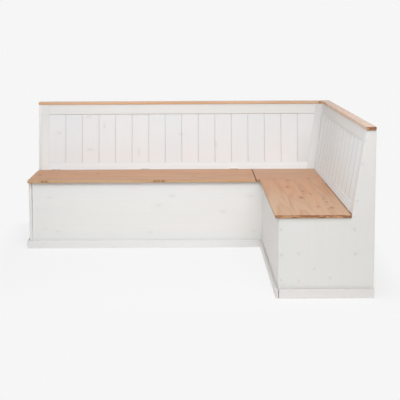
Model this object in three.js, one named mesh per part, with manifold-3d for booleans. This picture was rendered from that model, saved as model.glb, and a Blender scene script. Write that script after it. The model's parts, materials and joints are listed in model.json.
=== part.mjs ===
// A corner storage bench: two chests that meet in the corner of a room, each with a
// hinged seat lid, a leaning panelled backrest and a cap rail. Millimetres, +Z up.
// A leg is drawn in leg coordinates: s runs along its wall from the room corner,
// d runs from that wall into the room, z runs up. The short leg mirrors the long one.
import * as THREE from "three";
import { mergeVertices } from "three/addons/utils/BufferGeometryUtils.js";
import Module from "manifold-3d";

const wasm = await Module();
wasm.setup();

// Overall sizes
const longLegLength = 1990;
const shortLegLength = 1556;
const legDepth = 500;
const benchHeight = 900;
const seatHeight = 442;

// Glue line between fixed pieces, and how far a cutting tool runs past its piece
const fitGap = 0.3;
const overrun = 20;

// Chest boards
const panelThickness = 18;
const partitionThickness = 18;
const rearPanelThickness = 10;
const floorThickness = 10;
const floorCleatSide = 20;
const bearerWidth = 30;
const bearerHeight = 40;
const plinthHeight = 50;
const plinthThickness = 14;

// Seat boards
const seatThickness = 18;
const seatOverhang = 18;
const lidEndOverhang = 5;
const cornerBoardJog = 23;
const longSeamGap = 5;
const shortSeamGap = 3;
const battenWidth = 40;
const battenThickness = 18;
const battenInset = 110;
const battenEndClearance = 25;

// Backrest: the level depth of its face from the wall, at the seat and under the cap
const backFoot = 118;
const backTop = 50;
const capThickness = 19;
const capWidth = 52;
const capEndOverhang = 4;
const frameThickness = 20;
const topRailHeight = 64;
const bottomRailHeight = 47;
const endStileWidth = 50;
const cornerStileWidth = 48;
const braceThickness = 18;

// Tongue-and-groove boards of the backrest
const boardCover = 113;
const boardThickness = 10;
const boardRecess = 4;
const boardTongue = 8;
const veeWidth = 5;
const veeDepth = 3;

// Butt hinges
const hingeWidth = 54;
const leafThickness = 1.5;
const leafDrop = 15;
const leafClearance = 0.4;
const knuckleRadius = 3.5;
const knuckleClearance = 0.3;
const hingeBackClearance = 0.5;
const pinRadius = 1.5;
const pinHeadRadius = 2.4;
const pinHeadThickness = 1;
const longHingeInset = 120;
const shortHingeInset = 100;
const knuckleCount = 3;
const roundSteps = 16;

// Values worked out from the sizes above
const seatUnderside = seatHeight - seatThickness;
const carcassTop = seatUnderside - fitGap;
const capUnderside = benchHeight - capThickness;
const backHead = capUnderside - fitGap;
const backHeel = seatHeight + fitGap;
const backSlope = (backFoot - backTop) / (capUnderside - seatHeight);
const fieldBottom = seatHeight + bottomRailHeight;
const fieldTop = capUnderside - topRailHeight;
const seatFront = legDepth + seatOverhang;
const panelInside = legDepth - panelThickness;
const hingeLine = backFoot + knuckleRadius + hingeBackClearance;
const hingeHeight = seatHeight + knuckleRadius + knuckleClearance;
const leafFace = leafClearance / 2;
const leafRear = leafFace + leafThickness;
const railFront = hingeLine - leafRear - fitGap;
const lidRear = hingeLine + leafRear + fitGap;

// The two legs, each with where its own pieces start in leg coordinates
const longSeam = seatFront + cornerBoardJog;
const shortSeam = seatFront + shortSeamGap / 2;
const longLeg = {
  name: "long",
  end: "left",
  front: "front_panel",
  length: longLegLength,
  seam: longSeam,
  lidStart: longSeam + longSeamGap / 2,
  panelStart: panelInside,
  rearStart: 0,
  railStart: 0,
  plinthStart: legDepth + plinthThickness + fitGap,
  hingeInset: longHingeInset,
  spreadShares: [0, 1 / 2, 1],
  braceShares: [1 / 3, 2 / 3],
};
const shortLeg = {
  name: "short",
  end: "near",
  front: "side_panel",
  length: shortLegLength,
  seam: shortSeam,
  lidStart: shortSeam + shortSeamGap / 2,
  panelStart: legDepth + fitGap,
  rearStart: rearPanelThickness + fitGap,
  railStart: railFront + fitGap,
  plinthStart: legDepth + fitGap,
  hingeInset: shortHingeInset,
  spreadShares: [0, 1],
  braceShares: [1 / 2],
};

// Finishes: white-glazed pine, natural pine, and dull steel
function whitePine() {
  return new THREE.MeshStandardMaterial({ color: 0xe3e0da, roughness: 0.55, metalness: 0 });
}

function naturalPine() {
  return new THREE.MeshStandardMaterial({ color: 0xcfa283, roughness: 0.5, metalness: 0 });
}

function rawPine() {
  return new THREE.MeshStandardMaterial({ color: 0xdcc6a4, roughness: 0.7, metalness: 0 });
}

function dullSteel() {
  return new THREE.MeshStandardMaterial({ color: 0x6f6f70, roughness: 0.4, metalness: 1 });
}

// Geometry helpers
function block(s1, s2, d1, d2, z1, z2) {
  const geometry = new THREE.BoxGeometry(s2 - s1, d2 - d1, z2 - z1);
  return geometry.translate((s1 + s2) / 2, (d1 + d2) / 2, (z1 + z2) / 2);
}

function outlineShape(points) {
  return new THREE.Shape(points.map(([a, b]) => new THREE.Vector2(a, b)));
}

function extruded(points, depth) {
  return new THREE.ExtrudeGeometry(outlineShape(points), { depth, bevelEnabled: false });
}

// An outline of [d, z] points run along s from s1 to s2
function runAlong(points, s1, s2) {
  const axes = new THREE.Matrix4().makeBasis(
    new THREE.Vector3(0, 1, 0),
    new THREE.Vector3(0, 0, 1),
    new THREE.Vector3(1, 0, 0),
  );
  return extruded(points, s2 - s1).applyMatrix4(axes).translate(s1, 0, 0);
}

// An outline of [s, d] points run up from z1 to z2
function runUp(points, z1, z2) {
  return extruded(points, z2 - z1).translate(0, 0, z1);
}

// Level depth of the backrest's face at height z
function faceDepth(z) {
  return backFoot - backSlope * (z - seatHeight);
}

// An outline of [s, z] points, from behind1 to behind2 behind the leaning face
function leaning(points, behind1, behind2) {
  const axes = new THREE.Matrix4().makeBasis(
    new THREE.Vector3(1, 0, 0),
    new THREE.Vector3(0, 0, 1),
    new THREE.Vector3(0, -1, 0),
  );
  const lean = new THREE.Matrix4().makeShear(0, 0, 0, 0, 0, -backSlope);
  const upright = extruded(points, behind2 - behind1).applyMatrix4(axes);
  return upright.translate(0, -behind1, 0).applyMatrix4(lean).translate(0, faceDepth(0), 0);
}

function alongRod(radius, s1, s2) {
  const rod = new THREE.CylinderGeometry(radius, radius, s2 - s1, roundSteps);
  return rod.rotateZ(Math.PI / 2).translate((s1 + s2) / 2, hingeLine, hingeHeight);
}

// Solids for cuts and joins
function solid(geometry) {
  const bare = geometry.clone();
  bare.deleteAttribute("normal");
  bare.deleteAttribute("uv");
  const merged = mergeVertices(bare.index ? bare.toNonIndexed() : bare);
  const mesh = new wasm.Mesh({
    numProp: 3,
    vertProperties: new Float32Array(merged.attributes.position.array),
    triVerts: new Uint32Array(merged.index.array),
  });
  return new wasm.Manifold(mesh);
}

function surface(manifold) {
  const mesh = manifold.getMesh();
  const geometry = new THREE.BufferGeometry();
  geometry.setAttribute("position", new THREE.BufferAttribute(mesh.vertProperties, 3));
  geometry.setIndex(new THREE.BufferAttribute(mesh.triVerts, 1));
  geometry.computeVertexNormals();
  return geometry;
}

function joined(geometries) {
  return geometries.map(solid).reduce((whole, next) => whole.add(next));
}

function cut(geometry, tools) {
  return surface(tools.map(solid).reduce((whole, tool) => whole.subtract(tool), solid(geometry)));
}

// Everything on the far side of the mitre, where the two legs meet at s = d
function beyondMitre() {
  const near = [fitGap - overrun, -overrun];
  const far = [fitGap + legDepth, legDepth];
  return runUp([near, far, [near[0], far[1]]], -overrun, benchHeight + overrun);
}

function spread(first, last, shares) {
  return shares.map((share) => first + (last - first) * share);
}

// Chest of one leg
function endPanel(leg) {
  const outline = [
    [0, 0],
    [legDepth, 0],
    [legDepth, carcassTop],
    [faceDepth(carcassTop), carcassTop],
    [faceDepth(backHead), backHead],
    [0, backHead],
  ];
  return runAlong(outline, leg.length - panelThickness, leg.length);
}

function chestEnd(leg) {
  return leg.length - panelThickness - fitGap;
}

function chestStart(leg) {
  return leg.seam + partitionThickness / 2 + fitGap;
}

function frontPanel(leg) {
  return block(leg.panelStart, chestEnd(leg), panelInside, legDepth, 0, carcassTop);
}

function rearPanel(leg) {
  return block(leg.rearStart, chestEnd(leg), 0, rearPanelThickness, 0, carcassTop);
}

function partition(leg) {
  const half = partitionThickness / 2;
  const rear = rearPanelThickness + fitGap;
  return block(leg.seam - half, leg.seam + half, rear, panelInside - fitGap, 0, carcassTop);
}

function chestFloor(leg) {
  const rear = rearPanelThickness + fitGap;
  const top = plinthHeight + floorThickness;
  return block(chestStart(leg), chestEnd(leg), rear, panelInside - fitGap, plinthHeight, top);
}

function floorCleat(leg, d1) {
  const top = plinthHeight - fitGap;
  const d2 = d1 + floorCleatSide;
  return block(chestStart(leg), chestEnd(leg), d1, d2, top - floorCleatSide, top);
}

function rearRail(leg) {
  return block(leg.railStart, chestEnd(leg), 0, railFront, seatUnderside, seatHeight);
}

function rearBearer(leg) {
  const d1 = railFront - bearerWidth;
  return block(chestStart(leg), chestEnd(leg), d1, railFront, carcassTop - bearerHeight, carcassTop);
}

function frontPlinth(leg) {
  const s2 = leg.length + plinthThickness;
  return block(leg.plinthStart, s2, legDepth + fitGap, legDepth + plinthThickness, 0, plinthHeight);
}

function endPlinth(leg) {
  return block(leg.length + fitGap, leg.length + plinthThickness, 0, legDepth, 0, plinthHeight);
}

// Seat boards
function lidEnd(leg) {
  return leg.length + lidEndOverhang;
}

function lidBoard(leg) {
  return block(leg.lidStart, lidEnd(leg), lidRear, seatFront, seatUnderside, seatHeight);
}

function lidBatten(centre) {
  const s1 = centre - battenWidth / 2;
  const d1 = lidRear + battenEndClearance;
  const d2 = panelInside - battenEndClearance;
  return block(s1, s1 + battenWidth, d1, d2, carcassTop - battenThickness, carcassTop);
}

function battenCentres(leg) {
  return spread(chestStart(leg) + battenInset, chestEnd(leg) - battenInset, leg.spreadShares);
}

function cornerBoard() {
  const rear = railFront + fitGap;
  return block(rear, longSeam - longSeamGap / 2, rear, seatFront, seatUnderside, seatHeight);
}

// Backrest of one leg: two stiles, two rails and the boards held in their grooves
function fieldEnd(leg) {
  return chestEnd(leg) - endStileWidth;
}

function stileEdge(z) {
  return faceDepth(z) + cornerStileWidth;
}

function fieldOutline(leg, inset) {
  const z1 = fieldBottom - inset;
  const z2 = fieldTop + inset;
  const s2 = fieldEnd(leg) + inset;
  return [[stileEdge(z1) - inset, z1], [s2, z1], [s2, z2], [stileEdge(z2) - inset, z2]];
}

function boardRoom(leg) {
  const front = boardRecess - fitGap;
  const back = boardRecess + boardThickness + fitGap;
  return leaning(fieldOutline(leg, boardTongue + fitGap), front, back);
}

function endStile(leg) {
  const s1 = fieldEnd(leg);
  const s2 = chestEnd(leg);
  const outline = [[s1, backHeel], [s2, backHeel], [s2, backHead], [s1, backHead]];
  return cut(leaning(outline, 0, frameThickness), [boardRoom(leg)]);
}

function cornerStile(leg) {
  const outline = [
    [0, backHeel],
    [stileEdge(backHeel), backHeel],
    [stileEdge(backHead), backHead],
    [0, backHead],
  ];
  return cut(leaning(outline, 0, frameThickness), [boardRoom(leg), beyondMitre()]);
}

function backRail(leg, z1, z2) {
  const s2 = fieldEnd(leg) - fitGap;
  const outline = [[stileEdge(z1) + fitGap, z1], [s2, z1], [s2, z2], [stileEdge(z2) + fitGap, z2]];
  return cut(leaning(outline, 0, frameThickness), [boardRoom(leg)]);
}

// A vee along one joint between boards
function jointVee(s) {
  const mouth = faceDepth(0) - boardRecess;
  const plan = [
    [s - veeWidth, mouth + veeDepth],
    [s, mouth - veeDepth],
    [s + veeWidth, mouth + veeDepth],
  ];
  const lean = new THREE.Matrix4().makeShear(0, 0, 0, 0, 0, -backSlope);
  return runUp(plan, seatHeight, capUnderside).applyMatrix4(lean);
}

function backBoards(leg) {
  const widest = fieldEnd(leg) - stileEdge(fieldTop);
  const joints = Math.round(widest / boardCover) - 1;
  const vees = [];
  for (let i = 1; i <= joints; i += 1) vees.push(jointVee(fieldEnd(leg) - i * boardCover));
  const field = leaning(fieldOutline(leg, boardTongue), boardRecess, boardRecess + boardThickness);
  return cut(field, vees);
}

function backBrace(centre) {
  const behind = (z) => faceDepth(z) - frameThickness - fitGap;
  const outline = [
    [0, backHeel],
    [behind(backHeel), backHeel],
    [behind(backHead), backHead],
    [0, backHead],
  ];
  return runAlong(outline, centre - braceThickness / 2, centre + braceThickness / 2);
}

function capRail(leg) {
  const s2 = leg.length + capEndOverhang;
  const plan = [[fitGap, 0], [s2, 0], [s2, capWidth], [capWidth + fitGap, capWidth]];
  return runUp(plan, capUnderside, benchHeight);
}

// Hinge: the fixed leaf has the outer knuckles, the moving leaf the one between them
function knuckleSpan(s1, index) {
  const step = (hingeWidth + knuckleClearance) / knuckleCount;
  const start = s1 + index * step;
  return [start, start + step - knuckleClearance];
}

function hingeLeaf(centre, side) {
  const s1 = centre - hingeWidth / 2;
  const near = hingeLine + side * leafFace;
  const far = hingeLine + side * leafRear;
  const d1 = Math.min(near, far);
  const d2 = Math.max(near, far);
  const swing = hingeHeight - knuckleRadius - knuckleClearance;
  const pieces = [block(s1, s1 + hingeWidth, d1, d2, seatHeight - leafDrop, swing)];
  for (let i = 0; i < knuckleCount; i += 1) {
    const moving = i % 2 === 1;
    if (moving !== side > 0) continue;
    const [a, b] = knuckleSpan(s1, i);
    pieces.push(block(a, b, d1, d2, swing - leafThickness, hingeHeight));
    pieces.push(alongRod(knuckleRadius, a, b));
  }
  const bore = alongRod(pinRadius + fitGap, s1 - overrun, s1 + hingeWidth + overrun);
  return surface(joined(pieces).subtract(solid(bore)));
}

function hingePin(centre) {
  const half = hingeWidth / 2 + fitGap;
  const end = half + pinHeadThickness;
  const profile = [
    [0, -end],
    [pinHeadRadius, -end],
    [pinHeadRadius, -half],
    [pinRadius, -half],
    [pinRadius, half],
    [pinHeadRadius, half],
    [pinHeadRadius, end],
    [0, end],
  ].map(([radius, along]) => new THREE.Vector2(radius, along));
  const pin = new THREE.LatheGeometry(profile, roundSteps);
  return pin.rotateZ(Math.PI / 2).translate(centre, hingeLine, hingeHeight);
}

function hingeCentres(leg) {
  const first = leg.lidStart + leg.hingeInset;
  return spread(first, lidEnd(leg) - leg.hingeInset, leg.spreadShares);
}

// Assembly
function addPiece(group, name, geometry, material) {
  const mesh = new THREE.Mesh(geometry, material);
  mesh.name = name;
  group.add(mesh);
}

function addChest(group, leg) {
  addPiece(group, leg.end + "_end_panel", endPanel(leg), whitePine());
  addPiece(group, leg.name + "_" + leg.front, frontPanel(leg), whitePine());
  addPiece(group, leg.name + "_rear_panel", rearPanel(leg), rawPine());
  addPiece(group, leg.name + "_chest_partition", partition(leg), rawPine());
  addPiece(group, leg.name + "_chest_floor", chestFloor(leg), rawPine());
  const rearCleat = rearPanelThickness + fitGap;
  const frontCleat = panelInside - fitGap - floorCleatSide;
  addPiece(group, leg.name + "_floor_cleat_rear", floorCleat(leg, rearCleat), rawPine());
  addPiece(group, leg.name + "_floor_cleat_front", floorCleat(leg, frontCleat), rawPine());
  addPiece(group, leg.name + "_seat_rear_rail", rearRail(leg), naturalPine());
  addPiece(group, leg.name + "_rear_bearer", rearBearer(leg), rawPine());
  addPiece(group, leg.name + "_plinth", frontPlinth(leg), whitePine());
  addPiece(group, leg.end + "_end_plinth", endPlinth(leg), whitePine());
}

function addLid(group, leg) {
  addPiece(group, leg.name + "_lid_board", lidBoard(leg), naturalPine());
  battenCentres(leg).forEach((centre, i) => {
    addPiece(group, leg.name + "_lid_batten_" + (i + 1), lidBatten(centre), rawPine());
  });
  hingeCentres(leg).forEach((centre, i) => {
    const name = leg.name + "_hinge_" + (i + 1);
    addPiece(group, name + "_fixed_leaf", hingeLeaf(centre, -1), dullSteel());
    addPiece(group, name + "_lid_leaf", hingeLeaf(centre, 1), dullSteel());
    addPiece(group, name + "_pin", hingePin(centre), dullSteel());
  });
}

function addBackrest(group, leg) {
  const back = leg.name + "_back_";
  const bottomRail = backRail(leg, backHeel, fieldBottom);
  const topRail = backRail(leg, fieldTop, backHead);
  addPiece(group, back + "bottom_rail", bottomRail, whitePine());
  addPiece(group, back + "top_rail", topRail, whitePine());
  addPiece(group, back + leg.end + "_stile", endStile(leg), whitePine());
  addPiece(group, back + "corner_stile", cornerStile(leg), whitePine());
  addPiece(group, back + "boards", backBoards(leg), whitePine());
  spread(stileEdge(fieldTop), fieldEnd(leg), leg.braceShares).forEach((centre, i) => {
    addPiece(group, back + "brace_" + (i + 1), backBrace(centre), rawPine());
  });
  addPiece(group, leg.name + "_cap_rail", capRail(leg), naturalPine());
}

function makeLeg(leg) {
  const group = new THREE.Group();
  addChest(group, leg);
  addLid(group, leg);
  addBackrest(group, leg);
  return group;
}

// The room corner is the legs' origin; the bench's own origin is under its middle
const bench = new THREE.Group();
const endReach = Math.max(plinthThickness, lidEndOverhang, capEndOverhang);
const roomCorner = new THREE.Group();
roomCorner.position.set((longLegLength + endReach) / 2, (shortLegLength + endReach) / 2, 0);
bench.add(roomCorner);

const longGroup = makeLeg(longLeg);
longGroup.rotation.z = Math.PI;
addPiece(longGroup, "corner_seat_board", cornerBoard(), naturalPine());
roomCorner.add(longGroup);

const shortGroup = makeLeg(shortLeg);
shortGroup.scale.x = -1;
shortGroup.rotation.z = Math.PI / 2;
roomCorner.add(shortGroup);

export default bench;
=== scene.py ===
"""A corner storage bench in white-glazed and natural pine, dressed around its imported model."""

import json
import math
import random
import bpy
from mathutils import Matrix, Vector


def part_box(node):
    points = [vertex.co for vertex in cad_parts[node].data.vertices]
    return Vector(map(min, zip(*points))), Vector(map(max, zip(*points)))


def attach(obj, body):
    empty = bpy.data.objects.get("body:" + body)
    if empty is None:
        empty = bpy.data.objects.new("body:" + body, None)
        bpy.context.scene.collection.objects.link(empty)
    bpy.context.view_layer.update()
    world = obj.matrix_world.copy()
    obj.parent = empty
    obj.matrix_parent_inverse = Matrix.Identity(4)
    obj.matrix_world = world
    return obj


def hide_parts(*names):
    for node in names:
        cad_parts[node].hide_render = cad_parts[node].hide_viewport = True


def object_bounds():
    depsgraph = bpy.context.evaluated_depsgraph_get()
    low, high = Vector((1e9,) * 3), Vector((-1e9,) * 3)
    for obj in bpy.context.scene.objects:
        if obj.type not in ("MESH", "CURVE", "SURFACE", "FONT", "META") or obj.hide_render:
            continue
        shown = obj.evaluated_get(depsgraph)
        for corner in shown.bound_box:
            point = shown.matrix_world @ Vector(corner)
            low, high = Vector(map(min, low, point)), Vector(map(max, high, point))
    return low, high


bl_info = {
    "name": "Corner Storage Bench",
    "version": (1, 0, 0),
    "blender": (4, 5, 0),
    "location": "View3D > Sidebar > Bench",
    "description": "Dresses a corner storage bench in glazed and natural pine and sets it in a studio",
    "category": "Object",
}

import bmesh
import bpy
from bpy.props import FloatProperty, FloatVectorProperty, IntProperty, PointerProperty
from mathutils import Matrix, Vector

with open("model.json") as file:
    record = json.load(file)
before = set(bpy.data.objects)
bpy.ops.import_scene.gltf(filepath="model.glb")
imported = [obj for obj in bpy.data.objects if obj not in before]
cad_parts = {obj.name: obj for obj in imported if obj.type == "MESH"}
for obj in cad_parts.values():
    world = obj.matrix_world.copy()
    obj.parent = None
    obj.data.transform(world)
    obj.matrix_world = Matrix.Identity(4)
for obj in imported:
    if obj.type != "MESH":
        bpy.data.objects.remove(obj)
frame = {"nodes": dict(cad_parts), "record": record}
CAD_LOW, CAD_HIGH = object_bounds()
X, Y, Z = 0, 1, 2
SWAP_X_AND_Y = Matrix(((0, 1, 0, 0), (1, 0, 0, 0), (0, 0, 1, 0), (0, 0, 0, 1)))
MILLIMETRE = 0.001
MERGE_DISTANCE = 0.01 * MILLIMETRE
FLAT_ANGLE = math.radians(0.5)
SHARP_ANGLE = math.radians(25)
SMOOTH_ANGLE = math.radians(35)

# Cosines that tell which way a face looks, for rounding, marks, wear and painted shade
ROUNDED_SIDE = 0.9
MARKED_SIDE = 0.7
WORN_EDGE = 0.97
PAINTED_SHADE_SIDE = 0.5
GROOVE_SIDE = 0.95

# Knots that show, as places in the bench's own frame and radii in millimetres
NEAR_PANEL_KNOTS = (
    (0.897, -0.771, 0.364, 9),
    (0.898, -0.771, 0.430, 5),
    (0.903, -0.771, 0.234, 9),
    (0.908, -0.771, 0.514, 7),
    (0.932, -0.771, 0.706, 8),
    (0.943, -0.771, 0.830, 8),
    (0.773, -0.771, 0.105, 7),
    (0.608, -0.771, 0.236, 7),
    (0.609, -0.771, 0.090, 6),
    (0.514, -0.771, 0.364, 8),
    (0.519, -0.771, 0.229, 8),
    (0.517, -0.771, 0.096, 7),
    (0.690, -0.771, 0.156, 6),
)
LONG_PANEL_KNOTS = (
    (-0.854, 0.285, 0.327, 9),
    (-0.077, 0.285, 0.336, 13),
    (0.427, 0.285, 0.330, 11),
    (-0.162, 0.285, 0.275, 10),
    (0.251, 0.285, 0.232, 10),
    (-0.808, 0.285, 0.106, 9),
    (-0.217, 0.285, 0.097, 8),
    (-0.886, 0.285, 0.125, 7),
    (0.449, 0.285, 0.101, 7),
)
BACK_KNOTS = (
    (-0.852, 0.706, 0.690, 10),
    (-0.642, 0.689, 0.577, 10),
    (-0.650, 0.723, 0.802, 12),
    (-0.020, 0.706, 0.680, 8),
)
BACK_FLAMES = (
    (-0.544, 0.713, 0.740, 7),
    (-0.308, 0.689, 0.560, 7),
    (0.218, 0.694, 0.610, 7),
)
LONG_SEAT_KNOTS = (
    (-0.947, 0.467, 0.442, 10),
    (-0.571, 0.521, 0.442, 9),
    (0.066, 0.400, 0.442, 9),
    (0.660, 0.240, 0.442, 11),
)
SEAT_EDGE_KNOTS = (
    (-0.898, 0.268, 0.434, 6),
    (-0.874, 0.268, 0.436, 6),
    (-0.183, 0.268, 0.432, 7),
    (-0.160, 0.268, 0.434, 6),
    (-0.132, 0.268, 0.432, 8),
)
SHORT_SEAT_KNOTS = (
    (0.631, -0.001, 0.442, 8),
    (0.675, -0.325, 0.442, 11),
    (0.735, -0.572, 0.442, 6),
    (0.800, -0.449, 0.442, 6),
    (0.806, -0.600, 0.442, 8),
    (0.785, -0.632, 0.442, 5),
    (0.708, -0.139, 0.442, 6),
    (0.744, -0.213, 0.442, 5),
)
CAP_KNOTS = (
    (0.930, 0.733, 0.890, 8),
    (0.950, -0.146, 0.882, 9),
)

# Stretch of a knot along each axis
ROUND = (1.0, 1.0, 1.0)
ALONG_X = (2.2, 1.0, 1.0)
LONG_X = (1.5, 1.0, 1.0)
ALONG_Y = (1.0, 2.3, 1.0)
ALONG_Z = (1.0, 2.0, 3.2)

# How a stave was cut from its log: lowest and highest place along it, across it and out from its pith
LOG_LOW = (0.0, -0.03, 0.02)
LOG_HIGH = (9.0, 0.03, 0.08)

# A stave width that leaves a narrow board whole
WHOLE = 1.0

# Noise scales along, across and through the log, and how far rings wander and swell round a knot
FIBRE_GRAIN = (18.0, 700.0, 700.0)
BAND_GRAIN = (0.9, 13.0, 13.0)
STREAK_GRAIN = (2.2, 60.0, 60.0)
WANDER_GRAIN = (0.8, 3.0, 3.0)
RING_WANDER = (0.0, 16 * MILLIMETRE, 16 * MILLIMETRE)
KNOT_SWELL = 8 * MILLIMETRE

# Stray knots: spacing in the log, stretch across it, range of radii, and the distance where none is
STRAY_SPACING = (0.42, 0.09, 1000.0)
STRAY_STRETCH = 1.25
STRAY_RADII = (4 * MILLIMETRE, 10 * MILLIMETRE)
NO_KNOT = 50.0

# The joint at the left of the long front panel: (height, opening)
LEFT_JOINT_OPENING = (
    (0.0, 0.0003),
    (0.106, 0.0004),
    (0.212, 0.0012),
    (0.318, 0.0025),
    (0.424, 0.0026),
)
PLINTH_JOINT_OPENING = 2.3 * MILLIMETRE
REAR_SETBACK = 0.2 * MILLIMETRE

# How far the painted shade under the cap, under the seat and beside a joint reaches, and how dark the painted
# shade is there, in the seams and inner corner of the seats, on the plinth tops and on the backrests
CAP_SHADOW = 20 * MILLIMETRE
SEAT_SHADOW = 20 * MILLIMETRE
JOINT_SHADOW = 5 * MILLIMETRE
UNDER_CAP = 0.35
UNDER_SEAT = 0.45
FAINT_SEAM = 0.2
CORNER_SEAM = 0.55
CORNER_DIM = 0.35
PLINTH_TOP = 0.5
FRAME_PAINTED_SHADE = {
    "long": {"underside": 1.0, "joint": 0.3, "fade": 0.55, "corner_step": 1.0, "corner_fade": 0.75},
    "short": {"underside": 0.4, "joint": 0.0, "fade": 0.2, "corner_step": 0.3, "corner_fade": 0.3},
}
BOARD_PAINTED_SHADE = {
    "long": {"Top Grime": 0.32, "Last Grime": 0.3, "Groove Grime": 0.5},
    "short": {"Top Grime": 0.15, "Last Grime": 0.0, "Groove Grime": 1.5},
}

# Where the screws of battens and rear panels stand
SCREW_INSET = 30 * MILLIMETRE
SCREW_TOP_INSET = 12 * MILLIMETRE
BATTEN_PITCH = 90 * MILLIMETRE
PANEL_PITCH = 300 * MILLIMETRE
BATTEN_ROWS = (0.3, 0.7)

# Where the screws of a leaf sit, as shares of its half width and of its foot
LEAF_SCREW_SPREAD = 0.66
LEAF_SCREW_DROP = 0.62

# Steps round a knuckle, the bore and the pin
KNUCKLE_STEPS = 28
BORE_STEPS = 32
PIN_STEPS = 24

# How far the floor reaches and lies under the bench, and the reach and depth of the bench's shade on it
FLOOR_REACH = 12.0
FLOOR_DROP = 0.1 * MILLIMETRE
SHADE_REACH = 0.3
SHADE = 0.16


def number_setting(name, description, default):
    return FloatProperty(name=name, description=description, default=default)


def length_setting(name, description, default):
    return FloatProperty(name=name, description=description, unit="LENGTH", default=default)


def power_setting(name, description, default):
    return FloatProperty(name=name, description=description, unit="POWER", default=default)


def angle_setting(name, description, default):
    return FloatProperty(name=name, description=description, subtype="ANGLE", default=default)


def place_setting(name, description, default):
    return FloatVectorProperty(name=name, description=description, subtype="TRANSLATION", default=default)


def colour_setting(name, description, default):
    return FloatVectorProperty(
        name=name, description=description, subtype="COLOR", default=default, min=0, max=1
    )


class BenchTimber(bpy.types.PropertyGroup):
    """Colours of the timber and how wide its staves and rings are."""

    glaze: colour_setting("White Glaze", "Colour of the glazed boards", (0.815, 0.812, 0.79))
    pine: colour_setting("Natural Pine", "Colour of lacquered boards between rings", (0.586, 0.31, 0.17))
    pine_ring: colour_setting("Pine Ring", "Colour of late rings in lacquered boards", (0.42, 0.2, 0.088))
    bare: colour_setting("Bare Pine", "Colour of the planed boards inside and behind", (0.76, 0.575, 0.375))
    steel: colour_setting("Hinge Steel", "Colour of the plated hinges and screws", (0.64, 0.6, 0.56))
    ring_spacing: length_setting("Ring Spacing", "Distance between two late rings", 0.0034)
    panel_stave: length_setting("Panel Stave", "Width of the staves glued into a chest panel", 0.105)
    seat_stave: length_setting("Seat Stave", "Width of the staves glued into a seat board", 0.1)


class BenchEdges(bpy.types.PropertyGroup):
    """How far the edges of each kind of board are rounded."""

    seat: length_setting("Seat Edge", "Radius on the outer edges of lids and cap rails", 0.003)
    seam: length_setting("Seam Edge", "Radius on the edges of pine boards where they meet", 0.001)
    panel: length_setting("Panel Edge", "Radius on the edges of chest panels and plinths", 0.0015)
    frame: length_setting("Frame Edge", "Radius on the edges of the backrest's rails and stiles", 0.0006)
    inner: length_setting("Inner Edge", "Radius on the edges of the boards inside and behind", 0.001)


class BenchBoards(bpy.types.PropertyGroup):
    """Sizes of the tongue-and-groove boards in the backrests."""

    cover: length_setting("Board Cover", "Width that one board covers", 0.113)
    thickness: length_setting("Board Thickness", "Level thickness of a board", 0.01)
    housing: length_setting("Housing", "How far the boards reach into the grooves of the frame", 0.008)
    vee_width: length_setting("Vee Width", "Width of the vee between two boards", 0.006)
    vee_depth: length_setting("Vee Depth", "Depth of the vee between two boards", 0.003)
    joint_gap: length_setting("Joint Gap", "Open gap at the bottom of the vee", 0.0008)
    tongue: length_setting("Tongue", "Length of the tongue", 0.004)


class BenchFixings(bpy.types.PropertyGroup):
    """Sizes of hinges and screws."""

    leaf_thickness: length_setting("Leaf Thickness", "Thickness of a hinge leaf", 0.0015)
    leaf_face: length_setting("Leaf Face", "Distance from the pin's line to the near face of a leaf", 0.0002)
    leaf_corner: length_setting("Leaf Corner", "Size of the cut at each lower corner of a leaf", 0.0025)
    knuckles: IntProperty(name="Knuckles", description="Knuckles on both leaves together", default=3)
    knuckle_gap: length_setting("Knuckle Gap", "Gap between two knuckles", 0.0003)
    pin_radius: length_setting("Pin Radius", "Radius of the hinge pin", 0.0015)
    screw_radius: length_setting("Screw Head Radius", "Radius of a countersunk screw head in wood", 0.004)
    leaf_screw_radius: length_setting("Leaf Screw Radius", "Radius of a screw head in a hinge leaf", 0.0026)
    screw_stand: length_setting("Screw Stand", "How far a screw head stands out of its surface", 0.00015)


class BenchStudio(bpy.types.PropertyGroup):
    """Camera, lamps and background."""

    camera_place: place_setting("Camera Place", "Where the camera stands", (0.06047, -5.18128, 1.42419))
    yaw: angle_setting("Yaw", "Turn of the view to the right", 0.00828)
    pitch: angle_setting("Pitch", "Tilt of the view downwards", 0.10974)
    roll: angle_setting("Roll", "Roll of the camera", -0.00364)
    focal_pixels: number_setting("Focal Pixels", "Focal length in the pixels of the picture", 868.58)
    lift_pixels: number_setting("Lift Pixels", "How far the lens shift lifts the bench, in those pixels", 80)
    picture_pixels: number_setting("Picture Pixels", "Width of the picture in those pixels", 400)
    background: FloatProperty(
        name="Background", description="Brightness of the background", subtype="FACTOR", default=0.922
    )
    sky: number_setting("Sky", "Strength of the even light from all round", 0.2)
    front_lamp: power_setting("Front Lamp Power", "Power of the lamp in front of the short leg", 19.4)
    front_place: place_setting("Front Lamp Place", "Where the front lamp hangs", (0.8, -4.0, 1.8))
    seat_lamp: power_setting("Seat Lamp Power", "Power of the lamp over the open corner", 42.9)
    seat_place: place_setting("Seat Lamp Place", "Where the seat lamp hangs", (-0.6, -1.2, 2.6))
    high_lamp: power_setting("High Lamp Power", "Power of the high lamp near the short leg", 38.5)
    high_place: place_setting("High Lamp Place", "Where the high lamp hangs", (0.9, -2.0, 3.0))
    rear_lamp: power_setting("Rear Lamp Power", "Power of the lamp behind the bench", 24.0)
    rear_place: place_setting("Rear Lamp Place", "Where the rear lamp hangs", (2.2, 3.4, 0.9))
    lamp_size: length_setting("Lamp Size", "Side of each lamp", 2.0)


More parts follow.
